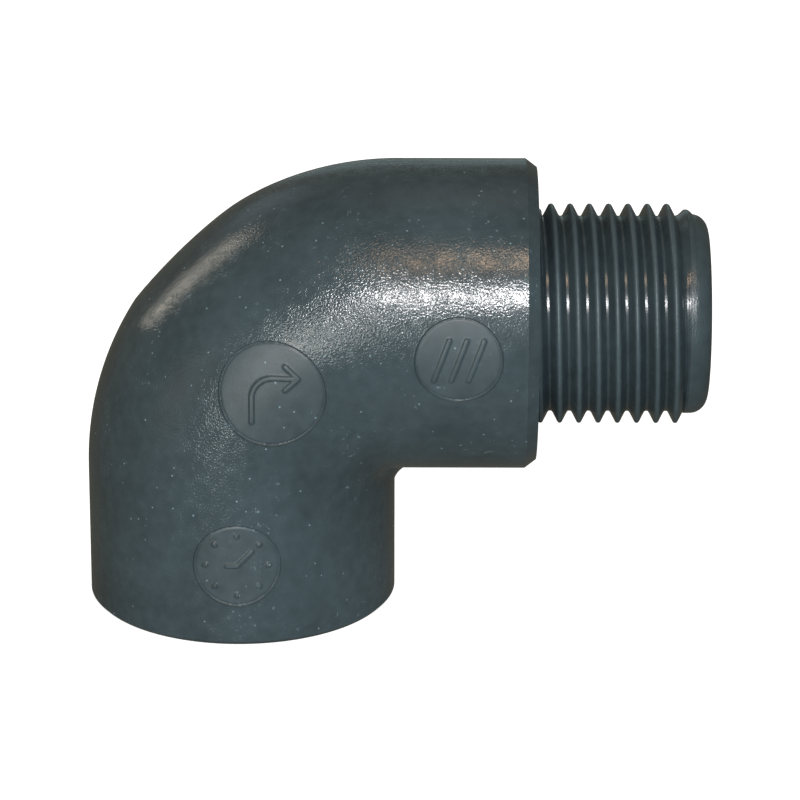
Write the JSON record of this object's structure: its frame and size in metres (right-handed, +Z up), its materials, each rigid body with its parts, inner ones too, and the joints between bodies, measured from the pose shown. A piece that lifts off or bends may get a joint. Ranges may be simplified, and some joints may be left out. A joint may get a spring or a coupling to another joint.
{
  "type": "threaded elbow",
  "caption": "Plastic right-angle pipe elbow with an inside-threaded socket at the bottom and an outside-threaded spigot at the side, for half-inch pipe thread.",
  "frame": {"origin": "centre of the socket's mouth, in the plane of the socket's rim", "axes": "+Z up the socket's axis into the bend, +X along the spigot's axis out of its end, +Y across both"},
  "size_m": [0.0586, 0.0292, 0.0425],
  "materials": {
    "body": "dark blue-grey polypropylene with a fine spark-eroded grain; the threads and the nose are smoother"
  },
  "bodies": {
    "root": {"elbow_body": "body"}
  },
  "joints": []
}
